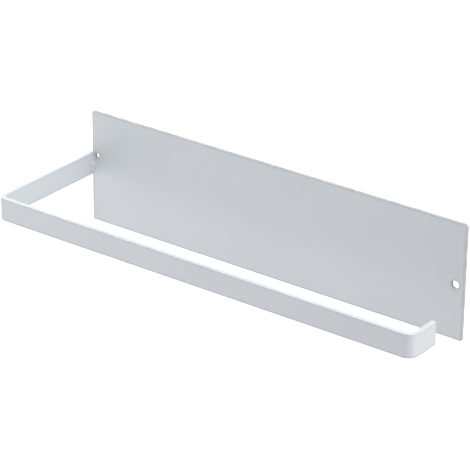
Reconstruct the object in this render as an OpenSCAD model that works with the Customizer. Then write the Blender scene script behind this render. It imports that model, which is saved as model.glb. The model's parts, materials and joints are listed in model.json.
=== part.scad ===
// Wall-mounted roll holder: a thin steel wall plate with a bent flat strip welded to its left edge.
// The wall is the plane y = 0 and the holder stands out of it towards -Y, with +Z up.
// The origin is the middle of the plate's back face. All sizes are in millimetres.

/* [Wall plate] */
// Width of the wall plate
plate_w = 280; // [200:1:400]
// Height of the wall plate
plate_h = 75.5; // [60:0.5:120]
// Thickness of the wall plate's sheet
plate_t = 2; // [1.5:0.1:3]
// Radius of the wall plate's four corners
plate_corner_r = 1.5; // [0.5:0.1:6]

/* [Bent strip] */
// Height of the flat strip, which stands on edge
strip_h = 15; // [13:0.5:25]
// Thickness of the flat strip
strip_t = 3; // [2:0.1:4]
// How far the middle of the strip is above the middle of the plate
strip_rise = 1.25; // [0:0.05:5]
// Distance from the plate's front face to the front face of the bar
reach = 89; // [70:1:140]
// How far the lip's outer face stands past the plate's right edge
overhang = 22; // [10:1:40]
// Length of the lip, from the front face of the bar to its free end
lip_l = 24.5; // [18:0.5:40]
// Inner radius of the two bends
bend_r = 4; // [3:0.5:8]
// Radius of the two corners of the lip's free end
lip_corner_r = 1; // [0.5:0.1:3]

/* [Fixing holes] */
// Diameter of the right fixing hole
right_hole_d = 5; // [4:0.1:6]
// Distance of the right hole's centre from the plate's right edge
right_hole_edge = 6.3; // [6:0.1:20]
// How far the right hole's centre is below the middle of the plate
right_hole_drop = 2.4; // [-10:0.1:10]
// Diameter of the left fixing hole
left_hole_d = 3; // [2.5:0.1:4.5]
// Distance of the left hole's centre from the plate's left edge
left_hole_edge = 3.8; // [3.6:0.1:15]
// How far the left hole's centre is below the strip's upper edge
left_hole_drop = 1.45; // [1:0.05:3]
// Diameter of the screw head that the left hole leaves room for
screw_head_d = 7; // [6:0.1:8]

/* [Welds] */
// Leg of the hollow weld bead in the corner between the strip and the plate
weld_leg = 2.8; // [1.5:0.1:3]
// Distance of the weld bead's lower end from the strip's lower edge
weld_inset = 0.5; // [0.2:0.1:1]
// Gap between the weld bead's upper end and the left hole's screw head
weld_clearance = 0.5; // [0.2:0.1:1]
// Depth of the groove along the back of the joint, which is welded and ground flush
seam_depth = 1; // [0.5:0.1:1.2]

/* [Hidden] */
$fn = 96;

coat = [0.79, 0.81, 0.83];
outer_r = bend_r + strip_t;

// The plate's faces and edges
plate_left = -plate_w / 2;
plate_right = plate_w / 2;
plate_front = -plate_t;

// The strip's outer faces, and its edges
arm_x = plate_left - strip_t;
lip_x = plate_right + overhang;
bar_y = plate_front - reach;
strip_low = strip_rise - strip_h / 2;
strip_top = strip_rise + strip_h / 2;

// The hole and the weld bead beside the strip's root
left_hole_z = strip_top - left_hole_drop;
weld_low = strip_low + weld_inset;
weld_top = left_hole_z - screw_head_d / 2 - weld_clearance;

// A rectangle with round corners, centred on the origin
module round_rectangle(w, h, r) {
    square([w - 2 * r, h], center = true);
    square([w, h - 2 * r], center = true);
    for (x = [-1, 1], y = [-1, 1])
        translate([x * (w / 2 - r), y * (h / 2 - r)]) circle(r);
}

// A hole through the plate
module fixing_hole(x, z, d) {
    translate([x, plate_front / 2, z]) rotate([90, 0, 0])
        cylinder(d = d, h = 2 * plate_t, center = true);
}

// A quarter of a flat ring about the origin, in the corner that side names: -1 left, 1 right
module bend_outline(side) {
    intersection() {
        difference() {
            circle(outer_r);
            circle(bend_r);
        }
        translate([side < 0 ? -outer_r : 0, -outer_r]) square(outer_r);
    }
}

// The strip seen from above: arm, bend, bar, bend and lip
module strip_outline() {
    bend_y = bar_y + outer_r;
    translate([arm_x, bend_y]) square([strip_t, -bend_y]);
    translate([arm_x + outer_r, bend_y]) bend_outline(-1);
    translate([arm_x + outer_r, bar_y]) square([lip_x - arm_x - 2 * outer_r, strip_t]);
    translate([lip_x - outer_r, bend_y]) bend_outline(1);
    translate([lip_x - strip_t, bend_y]) square([strip_t, lip_l - outer_r]);
}

// What comes off one corner of the lip's free end; side is 1 for the upper corner, -1 for the lower
module lip_corner_cut(side) {
    edge = side > 0 ? strip_top : strip_low;
    block = 2 * lip_corner_r;
    translate([lip_x - strip_t / 2, bar_y + lip_l - lip_corner_r, edge - side * lip_corner_r])
        difference() {
            translate([-strip_t, 0, side > 0 ? 0 : -block]) cube([2 * strip_t, block, block]);
            rotate([0, 90, 0]) cylinder(r = lip_corner_r, h = 3 * strip_t, center = true);
        }
}

// The V-shaped groove along the joint's back, half in the plate's edge and half in the strip's
module seam_groove() {
    translate([plate_left, 0, strip_low]) linear_extrude(strip_h)
        polygon([[-seam_depth, 0], [0, -seam_depth], [seam_depth, 0]]);
}

// The weld bead's section across its length: a triangle in the corner whose long side is hollow
module weld_section() {
    hollow_r = 1.5 * weld_leg;
    hollow_xy = (weld_leg + sqrt(2 * hollow_r * hollow_r - weld_leg * weld_leg)) / 2;
    difference() {
        square(weld_leg);
        translate([hollow_xy, hollow_xy]) circle(hollow_r);
    }
}

// Half of the outline that rounds off the weld bead's two ends
module weld_end_profile() {
    end_r = 1.1 * weld_leg;
    translate([0, weld_low + end_r]) square([end_r, weld_top - weld_low - 2 * end_r]);
    for (z = [weld_low + end_r, weld_top - end_r])
        intersection() {
            translate([0, z]) circle(end_r);
            translate([0, z - end_r]) square([end_r, 2 * end_r]);
        }
}

// Flat sheet against the wall, with two fixing holes
module wall_plate() {
    color(coat) difference() {
        rotate([90, 0, 0]) linear_extrude(plate_t) round_rectangle(plate_w, plate_h, plate_corner_r);
        fixing_hole(plate_right - right_hole_edge, -right_hole_drop, right_hole_d);
        fixing_hole(plate_left + left_hole_edge, left_hole_z, left_hole_d);
        seam_groove();
    }
}

// One flat strip: arm out from the plate's left edge, bar along the front, and a short lip back
module bent_strip() {
    color(coat) difference() {
        translate([0, 0, strip_low]) linear_extrude(strip_h) strip_outline();
        for (side = [-1, 1]) lip_corner_cut(side);
        seam_groove();
    }
}

// Fillet weld in the corner between the arm's inner face and the plate's front face
module corner_weld() {
    color(coat) translate([plate_left, plate_front, 0]) rotate([0, 0, -90])
        intersection() {
            translate([0, 0, weld_low]) linear_extrude(weld_top - weld_low) weld_section();
            rotate_extrude() weld_end_profile();
        }
}

// Weld metal that fills the groove, flush with the back of the plate
module seam_weld() {
    color(coat) seam_groove();
}

wall_plate();
bent_strip();
corner_weld();
seam_weld();
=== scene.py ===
"""Wall-mounted roll holder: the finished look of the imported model, laid out as an add-on.

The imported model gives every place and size. The pieces are the wall plate, the bent strip and the two welds
that join them, all under one pale powder coat, on a plain pale stage in soft light.
"""

import json
import math

import bmesh
import bpy
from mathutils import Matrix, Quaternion, Vector


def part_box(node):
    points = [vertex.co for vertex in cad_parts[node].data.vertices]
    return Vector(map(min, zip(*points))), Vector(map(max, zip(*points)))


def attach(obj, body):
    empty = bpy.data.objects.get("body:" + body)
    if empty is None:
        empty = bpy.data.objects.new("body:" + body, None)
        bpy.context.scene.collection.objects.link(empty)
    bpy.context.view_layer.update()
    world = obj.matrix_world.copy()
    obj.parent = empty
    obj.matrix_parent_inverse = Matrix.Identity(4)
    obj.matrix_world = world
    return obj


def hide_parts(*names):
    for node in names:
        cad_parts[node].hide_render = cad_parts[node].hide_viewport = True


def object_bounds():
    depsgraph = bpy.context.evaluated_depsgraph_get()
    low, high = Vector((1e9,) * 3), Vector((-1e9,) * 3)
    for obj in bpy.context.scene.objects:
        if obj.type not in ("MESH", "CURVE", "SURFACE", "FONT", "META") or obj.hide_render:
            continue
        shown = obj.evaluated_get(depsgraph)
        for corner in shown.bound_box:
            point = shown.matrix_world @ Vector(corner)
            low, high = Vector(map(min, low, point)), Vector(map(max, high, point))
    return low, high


bl_info = {
    "name": "Wall-Mounted Roll Holder",
    "version": (1, 0, 0),
    "blender": (4, 5, 0),
    "location": "3D View > Sidebar > Roll Holder",
    "description": "Builds a powder-coated steel roll holder around its packed model",
    "category": "Mesh",
}

BODY = "root"
MM = 0.001
# Two places nearer to each other than this are the same
SAME_PLACE = 1e-6

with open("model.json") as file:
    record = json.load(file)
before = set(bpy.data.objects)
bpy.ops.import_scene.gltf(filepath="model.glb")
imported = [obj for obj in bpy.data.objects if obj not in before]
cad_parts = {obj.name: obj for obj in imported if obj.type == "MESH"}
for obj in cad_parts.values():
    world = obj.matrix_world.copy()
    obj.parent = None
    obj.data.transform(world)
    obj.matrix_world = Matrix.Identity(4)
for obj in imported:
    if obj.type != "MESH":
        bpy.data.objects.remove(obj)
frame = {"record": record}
CAD_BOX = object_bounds()
PLATE_LOW, PLATE_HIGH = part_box("wall_plate")
STRIP_LOW, STRIP_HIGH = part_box("bent_strip")
BEAD_LOW, BEAD_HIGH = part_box("corner_weld")
SEAM_LOW, SEAM_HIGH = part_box("seam_weld")
STRIP_THICK = PLATE_LOW.x - STRIP_LOW.x
STRIP_MIDDLE_Z = (STRIP_LOW.z + STRIP_HIGH.z) / 2
HOLES = [mount for mount in frame["record"]["mounts"] if mount["kind"] == "bore"]

# The plate's flats: along a corner, across an edge's rounding, and round a hole
CORNER_STEPS, EDGE_STEPS, HOLE_STEPS = 12, 5, 64
# Width of the narrow ring of faces that keeps the flat beside a rounded edge flat
RING = 0.25 * MM
# The plate's doubled points are nearer to each other than this
DOUBLED = 1e-7
# The strip's flats: round the lip's corners, and across its long edges
LIP_CORNER_STEPS, STRIP_EDGE_STEPS = 8, 4
# The least angle, in degrees, between two faces that meet in an edge to be rounded
EDGE_ANGLE = 40

# The corner weld: faces across and along, how much of a quarter turn its hollow covers, how far it stays from
# the strip's edges, and how far its back is sunk into the corner so that no gap shows
BEAD_ACROSS, BEAD_ALONG, BEAD_SPREAD = 16, 120, 0.96
BEAD_INSET, BEAD_SINK = 0.25 * MM, 0.3 * MM
# The ground seam: faces across, and how far its middle stands proud of the plate's back
SEAM_ACROSS, SEAM_CROWN = 8, 0.03 * MM

# How much of the darker edge tone shows on the plate's cut faces, in its holes, and beside the edges: partly
# a thinner coat, partly painted shade on the edges and hole walls
CUT_SHARE, HOLE_SHARE, RIM_SHARE = 0.50, 0.74, 0.27
# The darker tone beside a cut edge (thinner coat and painted edge shade) is even from the first distance to
# the second, and ends at the third
RIM_START, RIM_FULL, RIM_END = 0.12 * MM, 0.7 * MM, 1.6 * MM
# The strip's narrow faces keep the full coat: the darker edge tone starts this far from them, and is even
# from here
STRIP_CLEAR, STRIP_START = 0.02 * MM, 0.25 * MM
# The distance over which one kind of edge goes over into another
CHANGE = 1 * MM
# The sizes of the coat's spots: clouds of tone, fine grain, long waves, and patches in the darker edge tone
CLOUD_SIZE, GRAIN_SIZE, WAVE_SIZE, PATCH_SIZE = 90 * MM, 0.45 * MM, 14 * MM, 6 * MM
# The stretches of the noise's values that count: a narrow one for clear spots, and a wide one for soft spots
CLEAR_SPOTS, SOFT_SPOTS = (0.30, 0.70), (0.25, 0.75)
# How dark a cloud is beside the coat's colour, and how much of it the clouds and the grain bring in
CLOUD_TONE, CLOUD_SHARE, GRAIN_SHARE = 0.965, (0.0, 0.6), (-0.10, 0.25)
# The least that a patch leaves of the darker edge tone (thinner coat and painted edge shade)
PATCH_SHARE = 0.75
# How far roughness goes up and down with the clouds, and with the orange peel
CLOUD_ROUGHNESS, PEEL_ROUGHNESS = 0.04, 0.06
# How much the orange peel, the waves and the grain add to the relief, its strength and its full height
PEEL_RELIEF, WAVE_RELIEF, GRAIN_RELIEF = 0.75, 0.6, 0.05
RELIEF_STRENGTH, RELIEF_HEIGHT = 0.22, 0.05 * MM
# The clear, softer gloss on the coat: its weight and roughness, and the coat's refraction
TOP_GLOSS, TOP_GLOSS_ROUGHNESS, COAT_IOR = 0.08, 0.30, 1.5

# The sky's colour, its strength below and above, and the heights between which it changes
SKY_TINT = (0.96, 0.985, 1.0)
SKY_LOW, SKY_HIGH = 0.295, 0.395
SKY_FROM, SKY_TO = -0.7, 0.2
# Each lamp's name, place from the holder's middle, width, power and colour
LAMPS = (
    ("overhead", (0.1, -0.1, 1.5), 1.5, 22.3, (1.0, 1.0, 1.0)),
    ("right", (2.35, 0.1, -0.2), 0.9, 26.0, (1.0, 0.955, 0.965)),
    ("right, behind", (2.0, 1.3, 0.2), 0.9, 6.8, (1.0, 0.97, 0.98)),
    ("low left", (-0.63, -0.75, -0.5), 1.35, 7.0, (1.0, 0.965, 0.985)),
    ("left, behind", (-1.2, 1.8, 0.0), 1.2, 22.0, (1.0, 1.0, 1.0)),
)
# The floor's width, colour and own light
FLOOR_WIDTH, FLOOR_COLOUR, FLOOR_GLOW = 8.0, (0.5, 0.5, 0.5), 0.9
# The white dome round the stage: its radius and subdivisions, and its own light
DOME_RADIUS, DOME_STEPS, DOME_GLOW = 10.0, 4, 1.0
STAGE_ROUGHNESS = 0.9
WHITE, BLACK = (1, 1, 1), (0, 0, 0)
# The camera's sensor in millimetres, and the nearest and furthest that it sees
SENSOR, CLIP_NEAR, CLIP_FAR = 36, 0.05, 50


# ---------------------------------------------------------------- sizes and colours that a user may change


class PlateSettings(bpy.types.PropertyGroup):
    """The wall plate."""

    corner: bpy.props.FloatProperty(
        name="Corner radius", description="Radius of the plate's corners", default=1.5 * MM,
        min=0.75 * MM, max=6 * MM, unit="LENGTH")
    edge: bpy.props.FloatProperty(
        name="Edge rounding", description="Radius that the coat gives the plate's cut edges",
        default=0.35 * MM, min=0.1 * MM, max=0.45 * MM, unit="LENGTH")


class StripSettings(bpy.types.PropertyGroup):
    """The bent strip."""

    lip: bpy.props.FloatProperty(
        name="Lip length", description="From the bar's front face to the lip's free end",
        default=24.5 * MM, min=18 * MM, max=40 * MM, unit="LENGTH")
    bend: bpy.props.FloatProperty(
        name="Bend radius", description="Inner radius of the two bends", default=4 * MM,
        min=3 * MM, max=8 * MM, unit="LENGTH")
    bend_steps: bpy.props.IntProperty(
        name="Bend steps", description="Flats along each bend", default=30, min=8, max=60)
    lip_corner: bpy.props.FloatProperty(
        name="Lip corner radius", description="Radius of the two corners of the lip's free end",
        default=1 * MM, min=0.5 * MM, max=3 * MM, unit="LENGTH")
    edge: bpy.props.FloatProperty(
        name="Edge rounding", description="Radius of the strip's long edges",
        default=0.4 * MM, min=0.1 * MM, max=1 * MM, unit="LENGTH")


class WeldSettings(bpy.types.PropertyGroup):
    """The corner weld."""

    ripple: bpy.props.FloatProperty(
        name="Ripple height", description="How far the weld's ripples stand out",
        default=0.03 * MM, min=0, max=0.3 * MM, unit="LENGTH")
    pitch: bpy.props.FloatProperty(
        name="Ripple pitch", description="Distance from one ripple to the next",
        default=1.1 * MM, min=0.5 * MM, max=3 * MM, unit="LENGTH")
    corner: bpy.props.FloatProperty(
        name="Corner fillet", description="Leg of the fillet that the coat leaves past the weld's ends",
        default=1.0 * MM, min=0.3 * MM, max=1.5 * MM, unit="LENGTH")


class CoatSettings(bpy.types.PropertyGroup):
    """The powder coat."""

    tone: bpy.props.FloatVectorProperty(
        name="Coat colour", description="Colour of the powder coat", subtype="COLOR",
        default=(0.748, 0.790, 0.818), min=0, max=1)
    # The darker tone of cut edges, holes and the strip's edges: partly a thinner coat, partly painted edge
    # shade
    thin_coat_and_shade_tone: bpy.props.FloatVectorProperty(
        name="Edge colour", description="Colour where the coat is thin, on cut edges",
        subtype="COLOR", default=(0.200, 0.204, 0.210), min=0, max=1)
    gloss: bpy.props.FloatProperty(
        name="Roughness", description="Roughness of the coat", default=0.46, min=0.2, max=0.9,
        subtype="FACTOR")
    peel: bpy.props.FloatProperty(
        name="Orange peel size", description="Size of the coat's fine waves",
        default=1.3 * MM, min=0.5 * MM, max=5 * MM, unit="LENGTH")


class StageSettings(bpy.types.PropertyGroup):
    """The camera and the floor."""

    azimuth: bpy.props.FloatProperty(
        name="Azimuth", description="How far round to the right the camera stands",
        default=math.radians(36.51), subtype="ANGLE")
    elevation: bpy.props.FloatProperty(
        name="Elevation", description="How far the camera looks down",
        default=math.radians(25.13), subtype="ANGLE")
    roll: bpy.props.FloatProperty(
        name="Roll", description="Tilt of the camera about its own line of sight",
        default=math.radians(0.66), subtype="ANGLE")
    distance: bpy.props.FloatProperty(
        name="Distance", description="From the camera to the point it looks at",
        default=1.6058, unit="LENGTH")
    target: bpy.props.FloatVectorProperty(
        name="Target", description="The point that the camera looks at", subtype="TRANSLATION",
        unit="LENGTH", default=(-0.02625, -0.002, -0.01653))
    lens: bpy.props.FloatProperty(
        name="Focal length", description="The lens, in millimetres on a 36 mm sensor",
        default=198.95, min=20, max=400, unit="CAMERA")
    drop: bpy.props.FloatProperty(
        name="Floor drop", description="How far the floor is below the holder",
        default=0.30, min=0.05, max=2, unit="LENGTH")


# ---------------------------------------------------------------- shader nodes as expressions


class Socket:
    """A node's output socket that can be used in Python expressions on values."""

    def __init__(self, nodes, output):
        self.nodes = nodes
        self.output = output

    def _math(self, operation, *values):
        return self.nodes.add("ShaderNodeMath", {"operation": operation}, dict(enumerate(values)))

    def __add__(self, other):
        return self._math("ADD", self, other)

    def __sub__(self, other):
        return self._math("SUBTRACT", self, other)

    def __rsub__(self, other):
        return self._math("SUBTRACT", other, self)

    def __mul__(self, other):
        return self._math("MULTIPLY", self, other)

    def __abs__(self):
        return self._math("ABSOLUTE", self)

    __radd__ = __add__
    __rmul__ = __mul__

    def lower(self, other):
        return self._math("MINIMUM", self, other)

    def higher(self, other):
        return self._math("MAXIMUM", self, other)

    def hypotenuse(self, other):
        return self._math("SQRT", self * self + other * other)


class Nodes:
    """The node tree of a material or of the sky, with one method that makes every node."""

    def __init__(self, owner):
        owner.use_nodes = True
        self.tree = owner.node_tree
        self.tree.nodes.clear()

    def add(self, kind, settings=None, inputs=None, output=0):
        """Makes a node. Gives back the output socket asked for, or the node itself if it has none."""
        made = self.tree.nodes.new(kind)
        for name, value in (settings or {}).items():
            setattr(made, name, value)
        for key, value in (inputs or {}).items():
            if isinstance(value, Socket):
                self.tree.links.new(value.output, made.inputs[key])
            else:
                made.inputs[key].default_value = value
        return Socket(self, made.outputs[output]) if made.outputs else made

    def apart(self, vector):
        """A vector's three values."""
        split = self.add("ShaderNodeSeparateXYZ", inputs={0: vector}).output.node
        return [Socket(self, split.outputs[axis]) for axis in "XYZ"]

    def noise(self, point, size, detail=2.0, rough=0.5):
        """Soft noise from 0 to 1 whose spots are about this size."""
        return self.add("ShaderNodeTexNoise", inputs={
            "Vector": point, "Scale": 1 / size, "Detail": detail, "Roughness": rough})

    def fade(self, value, low, high, start=0.0, end=1.0):
        """Goes smoothly from start, where value is low, to end, where it is high."""
        return self.add("ShaderNodeMapRange", {"interpolation_type": "SMOOTHSTEP"}, {
            "Value": value, "From Min": low, "From Max": high, "To Min": start, "To Max": end})

    def blend(self, share, first, second):
        """From the first colour to the second."""
        return self.add("ShaderNodeMix", {"data_type": "RGBA"}, {0: share, 6: first, 7: second}, output=2)


def rgba(colour):
    return (*colour, 1.0)


def beside_edge(nodes, near, share):
    """This share where near is nothing, going to none where the darker edge tone ends."""
    return nodes.fade(near, RIM_FULL, RIM_END, share, 0.0)


def cut_edge(nodes, near, share):
    """Share of the darker edge tone, thinner coat and painted edge shade: this much on a cut face, less
    beside it, and none further in.
    """
    return nodes.fade(near, 0.0, RIM_START, share, RIM_SHARE) * beside_edge(nodes, near, 1.0)


def plate_thin_coat_and_shade(nodes, place):
    """Where the plate is painted darker, for a thinner coat and for painted edge shade: on its cut faces, in
    its holes, and beside them.
    """
    x, _, z = place
    # Painted edge shade, with a thinner coat, on the outline's cut faces and beside them
    outline = (PLATE_HIGH.x - abs(x)).lower(PLATE_HIGH.z - abs(z))
    share = cut_edge(nodes, outline, CUT_SHARE)
    # Painted shade in the holes: their walls get more of the darker tone than the outline's cut faces, over a
    # thinner coat
    for hole in HOLES:
        centre = hole["pos_m"]
        near = (x - centre[0]).hypotenuse(z - centre[2]) - hole["dims"]["r_mm"] * MM
        share = share.higher(cut_edge(nodes, near, HOLE_SHARE))
    return share


def strip_thin_coat_and_shade(nodes, place):
    """Where the strip is painted darker, for a thinner coat and for painted edge shade: beside its four long
    edges, most at the lower ones as painted shade under them, and at its end.
    """
    x, y, z = place
    above = z - STRIP_MIDDLE_Z
    near = (STRIP_HIGH.z - STRIP_MIDDLE_Z) - abs(above)
    # Painted shade under the strip: the lower edges get twice the darker tone of the upper ones
    most = nodes.fade(above, -CHANGE, CHANGE, RIM_SHARE, RIM_SHARE / 2)
    long_edges = nodes.fade(near, STRIP_CLEAR, STRIP_START) * beside_edge(nodes, near, 1.0) * most
    from_end = STRIP_LOW.y + bpy.context.scene.holder_strip.lip - y
    free_end = beside_edge(nodes, from_end, RIM_SHARE) * nodes.fade(x, 0.0, CHANGE)
    return long_edges.higher(free_end)


def powder_coat(name, thin_and_shaded_at=None):
    """Semi-matt powder coat: fine orange peel, faint clouds of tone, and a darker tone at edges that stands
    for a thinner coat and for painted edge shade.
    """
    coat = bpy.context.scene.holder_coat
    material = bpy.data.materials.new(name)
    nodes = Nodes(material)
    point = nodes.add("ShaderNodeTexCoord", output="Object")
    clouds = nodes.noise(point, CLOUD_SIZE, detail=3.0)
    grain = nodes.noise(point, GRAIN_SIZE, detail=1.0)
    peel = nodes.noise(point, coat.peel, detail=1.5, rough=0.45)
    waves = nodes.noise(point, WAVE_SIZE, detail=1.0)

    cloudy = (nodes.fade(clouds, *CLEAR_SPOTS, *CLOUD_SHARE)
              + nodes.fade(grain, *SOFT_SPOTS, *GRAIN_SHARE))
    tone = nodes.blend(cloudy, rgba(coat.tone), rgba([value * CLOUD_TONE for value in coat.tone]))
    # Painted edge shade, with a thinner coat: the darker tone is mixed in at edges and in holes
    if thin_and_shaded_at:
        patches = nodes.fade(nodes.noise(point, PATCH_SIZE), *CLEAR_SPOTS, PATCH_SHARE, 1.0)
        thin_and_shaded = thin_and_shaded_at(nodes, nodes.apart(point)) * patches
        tone = nodes.blend(thin_and_shaded, tone, rgba(coat.thin_coat_and_shade_tone))

    cloud_roughness = nodes.fade(
        clouds, *SOFT_SPOTS, coat.gloss - CLOUD_ROUGHNESS, coat.gloss + CLOUD_ROUGHNESS)
    relief = nodes.add("ShaderNodeBump", inputs={
        "Strength": RELIEF_STRENGTH, "Distance": RELIEF_HEIGHT,
        "Height": peel * PEEL_RELIEF + waves * WAVE_RELIEF + grain * GRAIN_RELIEF})
    surface = nodes.add("ShaderNodeBsdfPrincipled", inputs={
        "Base Color": tone, "Roughness": cloud_roughness + (peel - 0.5) * PEEL_ROUGHNESS,
        "IOR": COAT_IOR, "Metallic": 0.0, "Coat Weight": TOP_GLOSS,
        "Coat Roughness": TOP_GLOSS_ROUGHNESS, "Normal": relief})
    nodes.add("ShaderNodeOutputMaterial", inputs={"Surface": surface})
    return material


# ---------------------------------------------------------------- mesh helpers


def finish_piece(obj, node, material):
    """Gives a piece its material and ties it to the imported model."""
    obj.data.materials.clear()
    obj.data.materials.append(material)
    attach(obj, BODY)
    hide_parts(node)


def link_mesh(name, mesh):
    obj = bpy.data.objects.new(name, mesh)
    bpy.context.scene.collection.objects.link(obj)
    return obj


def to_mesh(bm, name):
    """Turns the working mesh into a plain one and frees it."""
    mesh = bpy.data.meshes.new(name)
    bm.to_mesh(mesh)
    bm.free()
    return mesh


def bake_modifiers(obj):
    """Puts what the modifiers make into the mesh and takes them off."""
    graph = bpy.context.evaluated_depsgraph_get()
    baked = bpy.data.meshes.new_from_object(obj.evaluated_get(graph), depsgraph=graph)
    obj.modifiers.clear()
    obj.data = baked


def arc(centre_a, centre_b, radius, start, turn, steps):
    """Points of an arc in a plane, both ends included, angles in degrees."""
    angles = [math.radians(start + turn * i / steps) for i in range(steps + 1)]
    return [(centre_a + radius * math.cos(t), centre_b + radius * math.sin(t)) for t in angles]


def rounded_outline(half_w, half_h, radius):
    """A rectangle with round corners, anticlockwise."""
    points = []
    for start, side_x, side_z in ((0, 1, 1), (90, -1, 1), (180, -1, -1), (270, 1, -1)):
        points += arc(side_x * (half_w - radius), side_z * (half_h - radius), radius, start, 90, CORNER_STEPS)
    return points


def join_loops(bm, first, second):
    """A band of quads between two loops of the same length."""
    count = len(first)
    for i in range(count):
        j = (i + 1) % count
        bm.faces.new((first[i], first[j], second[j], second[i]))


def fill_flat(bm, loops):
    """A flat face with holes, between an outer loop and the loops inside it."""
    edges = []
    for loop in loops:
        for i, vert in enumerate(loop):
            edges.append(bm.edges.get((vert, loop[(i + 1) % len(loop)])))
    bmesh.ops.triangle_fill(bm, use_beauty=True, use_dissolve=False, edges=edges)


def edge_rings(edge):
    """The rings across a rounded cut edge, front to back: how far in each lies, and how deep."""
    thickness = PLATE_HIGH.y - PLATE_LOW.y
    quarter = [math.radians(90 * i / EDGE_STEPS) for i in range(EDGE_STEPS + 1)]
    front = [(edge + RING, 0.0)]
    front += [(edge * (1 - math.sin(t)), edge * (1 - math.cos(t))) for t in quarter]
    return front + [(inset, thickness - depth) for inset, depth in reversed(front)]


def plate_mesh(corner, edge):
    """The plate as rings round its outline and its holes, with every cut edge rounded."""
    bm = bmesh.new()
    rings = edge_rings(edge)

    def wall(points_at):
        """The wall along an outline or a hole. Gives back its front and back loops."""
        loops = []
        for inset, depth in rings:
            y = PLATE_LOW.y + depth
            loops.append([bm.verts.new((x, y, z)) for x, z in points_at(inset)])
        for first, second in zip(loops, loops[1:]):
            join_loops(bm, first, second)
        return loops[0], loops[-1]

    def outline_at(inset):
        return rounded_outline(PLATE_HIGH.x - inset, PLATE_HIGH.z - inset, corner - inset)

    walls = [wall(outline_at)]
    for hole in HOLES:
        x, _, z = hole["pos_m"]
        radius = hole["dims"]["r_mm"] * MM
        walls.append(wall(lambda inset: arc(x, z, radius + inset, 0, 360, HOLE_STEPS)[:-1]))
    for side in zip(*walls):
        fill_flat(bm, side)
    bmesh.ops.remove_doubles(bm, verts=bm.verts, dist=DOUBLED)
    bmesh.ops.recalc_face_normals(bm, faces=bm.faces)
    mesh = to_mesh(bm, "plate")
    mesh.shade_smooth()
    return mesh


def strip_tree():
    """Geometry nodes: bend a path of straight runs and sweep a flat bar's section along it."""
    tree = bpy.data.node_groups.new("Bent flat bar", "GeometryNodeTree")
    interface = tree.interface
    interface.new_socket("Path", in_out="INPUT", socket_type="NodeSocketGeometry")
    for name, kind in (("Bend radius", "Float"), ("Bend steps", "Int"), ("Thickness", "Float"),
                       ("Height", "Float"), ("Material", "Material")):
        interface.new_socket(name, in_out="INPUT", socket_type="NodeSocket" + kind)
    interface.new_socket("Strip", in_out="OUTPUT", socket_type="NodeSocketGeometry")

    def node(kind, settings=None, **inputs):
        made = tree.nodes.new(kind)
        for name, value in (settings or {}).items():
            setattr(made, name, value)
        for name, value in inputs.items():
            socket = made.inputs[name.replace("_", " ")]
            if isinstance(value, bpy.types.NodeSocket):
                tree.links.new(value, socket)
            else:
                socket.default_value = value
        return made.outputs

    given = node("NodeGroupInput")
    path = node("GeometryNodeMeshToCurve", Mesh=given["Path"])
    bent = node("GeometryNodeFilletCurve", {"mode": "POLY"}, Curve=path[0],
                Radius=given["Bend radius"], Count=given["Bend steps"])
    upright = node("GeometryNodeSetCurveNormal", {"mode": "Z_UP"}, Curve=bent[0])
    section = node("GeometryNodeCurvePrimitiveQuadrilateral",
                   Width=given["Thickness"], Height=given["Height"])
    swept = node("GeometryNodeCurveToMesh", Curve=upright[0], Profile_Curve=section[0], Fill_Caps=True)
    real = node("GeometryNodeRealizeInstances", Geometry=swept[0])
    coated = node("GeometryNodeSetMaterial", Geometry=real[0], Material=given["Material"])
    node("NodeGroupOutput", Strip=coated[0])
    return tree


def set_inputs(modifier, values):
    """Sets a geometry nodes modifier's inputs by the identifiers that stand behind their names."""
    inputs = {item.name: item.identifier for item in modifier.node_group.interface.items_tree
              if item.item_type == "SOCKET" and item.in_out == "INPUT"}
    for name, value in values.items():
        modifier[inputs[name]] = value


def mark_lip_corners(obj):
    """Weights the two short edges at the top and bottom of the lip's free end for the corner bevel."""
    weights = obj.data.attributes.new("bevel_weight_edge", "FLOAT", "EDGE")
    end_y = max(v.co.y for v in obj.data.vertices if v.co.x > 0)
    for edge in obj.data.edges:
        a, b = (obj.data.vertices[i].co for i in edge.vertices)
        at_end = a.x > 0 and min(a.y, b.y) > end_y - SAME_PLACE
        if at_end and abs(a.z - b.z) < SAME_PLACE:
            weights.data[edge.index].value = 1.0


def soften(obj, width, segments, weighted=False):
    """Rounds the weighted edges, or every sharp one."""
    bevel = obj.modifiers.new("Soft edge", "BEVEL")
    bevel.width = width
    bevel.segments = segments
    bevel.limit_method = "WEIGHT" if weighted else "ANGLE"
    bevel.angle_limit = math.radians(EDGE_ANGLE)
    bevel.use_clamp_overlap = False
    bevel.harden_normals = not weighted


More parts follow.
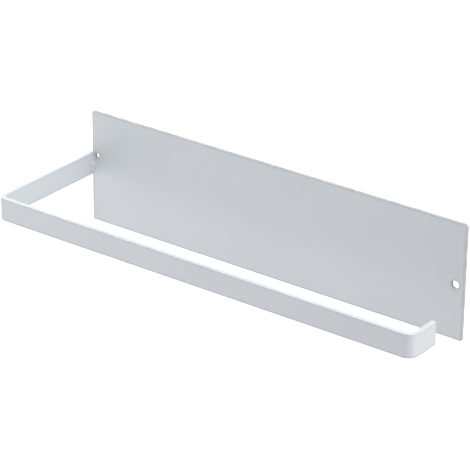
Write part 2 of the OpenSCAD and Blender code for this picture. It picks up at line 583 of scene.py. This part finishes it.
def bead_mesh(ripple, pitch, corner_leg):
    """A ground, hollow fillet in the corner. Past its ends the coat fills the corner with a small fillet."""
    leg = BEAD_HIGH.x - BEAD_LOW.x
    low = STRIP_LOW.z + BEAD_INSET
    high = STRIP_HIGH.z - BEAD_INSET
    corner = Vector((BEAD_LOW.x, BEAD_HIGH.y, 0))
    bm = bmesh.new()
    rows = []
    for k in range(BEAD_ALONG + 1):
        z = low + (high - low) * k / BEAD_ALONG
        # Goes smoothly from 0 past the weld's ends to 1 along its middle
        rise = min(max(min(z - BEAD_LOW.z, BEAD_HIGH.z - z) / leg, 0.0), 1.0)
        swell = rise * rise * (3 - 2 * rise)
        reach = corner_leg + (leg - corner_leg) * swell
        wave = ripple * swell * math.cos(2 * math.pi * z / pitch)
        row = []
        for i in range(BEAD_ACROSS + 1):
            angle = math.radians(45 + BEAD_SPREAD * (90 * i / BEAD_ACROSS - 45))
            out = wave * math.sin(math.pi * i / BEAD_ACROSS)
            x = reach * (1 - math.sin(angle)) + out
            y = reach * (1 - math.cos(angle)) + out
            row.append(bm.verts.new(corner + Vector((x, -y, z))))
        row.append(bm.verts.new(corner + Vector((-BEAD_SINK, BEAD_SINK, z))))
        rows.append(row)
    for first, second in zip(rows, rows[1:]):
        join_loops(bm, first, second)
    bm.faces.new(rows[0])
    bm.faces.new(reversed(rows[-1]))
    bmesh.ops.recalc_face_normals(bm, faces=bm.faces)
    mesh = to_mesh(bm, "bead")
    mesh.shade_smooth()
    return mesh


def seam_mesh():
    """The ground seam: a groove's worth of weld whose face is almost flush with the plate's back."""
    middle = (SEAM_LOW.x + SEAM_HIGH.x) / 2
    half = (SEAM_HIGH.x - SEAM_LOW.x) / 2
    section = []
    for i in range(SEAM_ACROSS + 1):
        turn = math.pi * i / SEAM_ACROSS
        section.append((half * math.cos(turn), SEAM_CROWN * math.sin(turn)))
    section.append((0.0, SEAM_LOW.y - SEAM_HIGH.y))
    bm = bmesh.new()
    loops = []
    for z in (SEAM_LOW.z, SEAM_HIGH.z):
        loops.append([bm.verts.new((middle + x, SEAM_HIGH.y + y, z)) for x, y in section])
    join_loops(bm, *loops)
    for loop in loops:
        bm.faces.new(loop)
    bmesh.ops.recalc_face_normals(bm, faces=bm.faces)
    return to_mesh(bm, "seam")


# ---------------------------------------------------------------- the stage, and an operator for each piece


class HOLDER_OT_stage(bpy.types.Operator):
    """Make the camera, the soft lights, the pale floor and the white dome"""

    bl_idname = "holder.stage"
    bl_label = "Stage"

    def execute(self, context):
        scene = context.scene
        scene.view_settings.view_transform = "Standard"
        self.camera(scene)
        self.backdrop(scene)
        self.sky(scene)
        self.lamps(scene)
        return {"FINISHED"}

    def camera(self, scene):
        stage = scene.holder_stage
        data = bpy.data.cameras.new("camera")
        data.lens = stage.lens
        data.sensor_width = SENSOR
        data.clip_start = CLIP_NEAR
        data.clip_end = CLIP_FAR
        camera = bpy.data.objects.new("camera", data)
        turn = (Quaternion((0, 0, 1), stage.azimuth)
                @ Quaternion((1, 0, 0), math.radians(90) - stage.elevation)
                @ Quaternion((0, 0, 1), stage.roll))
        camera.rotation_mode = "QUATERNION"
        camera.rotation_quaternion = turn
        camera.location = Vector(stage.target) + turn @ Vector((0, 0, stage.distance))
        scene.collection.objects.link(camera)
        scene.camera = camera

    def backdrop(self, scene):
        """A pale floor and, far out, a white dome. Neither throws light or shade on the holder."""
        floor = bmesh.new()
        bmesh.ops.create_grid(floor, x_segments=1, y_segments=1, size=FLOOR_WIDTH / 2)
        low = CAD_BOX[0].z - scene.holder_stage.drop
        bmesh.ops.translate(floor, verts=floor.verts, vec=(0, 0, low))
        dome = bmesh.new()
        bmesh.ops.create_icosphere(dome, subdivisions=DOME_STEPS, radius=DOME_RADIUS)
        for name, bm, colour, glow in (("floor", floor, FLOOR_COLOUR, FLOOR_GLOW),
                                       ("dome", dome, BLACK, DOME_GLOW)):
            obj = link_mesh(name, to_mesh(bm, name))
            obj.visible_diffuse = False
            obj.visible_glossy = False
            obj.visible_shadow = False
            material = bpy.data.materials.new(name)
            nodes = Nodes(material)
            pale = nodes.add("ShaderNodeBsdfPrincipled", inputs={
                "Base Color": rgba(colour), "Roughness": STAGE_ROUGHNESS, "Specular IOR Level": 0.0,
                "Emission Color": rgba(WHITE), "Emission Strength": glow})
            nodes.add("ShaderNodeOutputMaterial", inputs={"Surface": pale})
            obj.data.materials.append(material)

    def sky(self, scene):
        """Soft light from all round: most from above, least from below."""
        world = bpy.data.worlds.new("studio")
        nodes = Nodes(world)
        height = nodes.apart(nodes.add("ShaderNodeTexCoord", output="Generated"))[2]
        strength = nodes.fade(height, SKY_FROM, SKY_TO, SKY_LOW, SKY_HIGH)
        light = nodes.add("ShaderNodeBackground", inputs={"Color": rgba(SKY_TINT), "Strength": strength})
        nodes.add("ShaderNodeOutputWorld", inputs={"Surface": light})
        scene.world = world

    def lamps(self, scene):
        middle = (CAD_BOX[0] + CAD_BOX[1]) / 2
        for name, place, width, power, colour in LAMPS:
            light = bpy.data.lights.new(name, "AREA")
            light.size = width
            light.energy = power
            light.color = colour
            lamp = bpy.data.objects.new(name, light)
            lamp.location = middle + Vector(place)
            lamp.rotation_mode = "QUATERNION"
            lamp.rotation_quaternion = Vector(place).to_track_quat("Z", "Y")
            scene.collection.objects.link(lamp)


class HOLDER_OT_plate(bpy.types.Operator):
    """Make the wall plate, with rounded cut edges and two fixing holes"""

    bl_idname = "holder.plate"
    bl_label = "Wall plate"

    def execute(self, context):
        sizes = context.scene.holder_plate
        plate = link_mesh("wall_plate_coated", plate_mesh(sizes.corner, sizes.edge))
        finish_piece(plate, "wall_plate", powder_coat("powder coat, plate", plate_thin_coat_and_shade))
        return {"FINISHED"}


class HOLDER_OT_strip(bpy.types.Operator):
    """Bend the strip: arm, bar and lip"""

    bl_idname = "holder.strip"
    bl_label = "Bent strip"

    def execute(self, context):
        sizes = context.scene.holder_strip
        left = STRIP_LOW.x + STRIP_THICK / 2
        right = STRIP_HIGH.x - STRIP_THICK / 2
        front = STRIP_LOW.y + STRIP_THICK / 2
        route = ((left, STRIP_HIGH.y), (left, front), (right, front), (right, STRIP_LOW.y + sizes.lip))
        mesh = bpy.data.meshes.new("strip path")
        mesh.from_pydata([(x, y, STRIP_MIDDLE_Z) for x, y in route], [(0, 1), (1, 2), (2, 3)], [])
        strip = link_mesh("bent_strip_coated", mesh)
        coat = powder_coat("powder coat, strip", strip_thin_coat_and_shade)
        sweep = strip.modifiers.new("Sweep", "NODES")
        sweep.node_group = strip_tree()
        set_inputs(sweep, {
            "Bend radius": sizes.bend + STRIP_THICK / 2, "Bend steps": sizes.bend_steps,
            "Thickness": STRIP_THICK, "Height": STRIP_HIGH.z - STRIP_LOW.z, "Material": coat})
        bake_modifiers(strip)
        mark_lip_corners(strip)
        strip.data.shade_smooth()
        soften(strip, sizes.lip_corner, LIP_CORNER_STEPS, weighted=True)
        soften(strip, sizes.edge, STRIP_EDGE_STEPS)
        bake_modifiers(strip)
        finish_piece(strip, "bent_strip", coat)
        return {"FINISHED"}


class HOLDER_OT_welds(bpy.types.Operator):
    """Make the weld bead in the corner and the ground seam behind it"""

    bl_idname = "holder.welds"
    bl_label = "Welds"

    def execute(self, context):
        sizes = context.scene.holder_weld
        coat = powder_coat("powder coat, welds")
        bead = link_mesh("corner_weld_coated", bead_mesh(sizes.ripple, sizes.pitch, sizes.corner))
        finish_piece(bead, "corner_weld", coat)
        seam = link_mesh("seam_weld_coated", seam_mesh())
        finish_piece(seam, "seam_weld", coat)
        return {"FINISHED"}


class HOLDER_PT_panel(bpy.types.Panel):
    """Lists the sizes, the colours and the operators"""

    bl_idname = "HOLDER_PT_panel"
    bl_label = "Roll Holder"
    bl_space_type = "VIEW_3D"
    bl_region_type = "UI"
    bl_category = "Roll Holder"

    def draw(self, context):
        for group in SETTINGS:
            settings = getattr(context.scene, group)
            box = self.layout.box()
            for name in settings.__annotations__:
                box.prop(settings, name)
        for operator in OPERATORS:
            self.layout.operator(operator.bl_idname)


SETTINGS = {
    "holder_plate": PlateSettings,
    "holder_strip": StripSettings,
    "holder_weld": WeldSettings,
    "holder_coat": CoatSettings,
    "holder_stage": StageSettings,
}
OPERATORS = (HOLDER_OT_stage, HOLDER_OT_plate, HOLDER_OT_strip, HOLDER_OT_welds)


def register():
    for name, group in SETTINGS.items():
        bpy.utils.register_class(group)
        setattr(bpy.types.Scene, name, bpy.props.PointerProperty(type=group))
    for cls in (*OPERATORS, HOLDER_PT_panel):
        bpy.utils.register_class(cls)


def unregister():
    for cls in (HOLDER_PT_panel, *reversed(OPERATORS)):
        bpy.utils.unregister_class(cls)
    for name, group in SETTINGS.items():
        delattr(bpy.types.Scene, name)
        bpy.utils.unregister_class(group)


def main():
    register()
    bpy.ops.holder.stage()
    bpy.ops.holder.plate()
    bpy.ops.holder.strip()
    bpy.ops.holder.welds()
    bpy.context.view_layer.update()


if __name__ == "__main__":
    main()
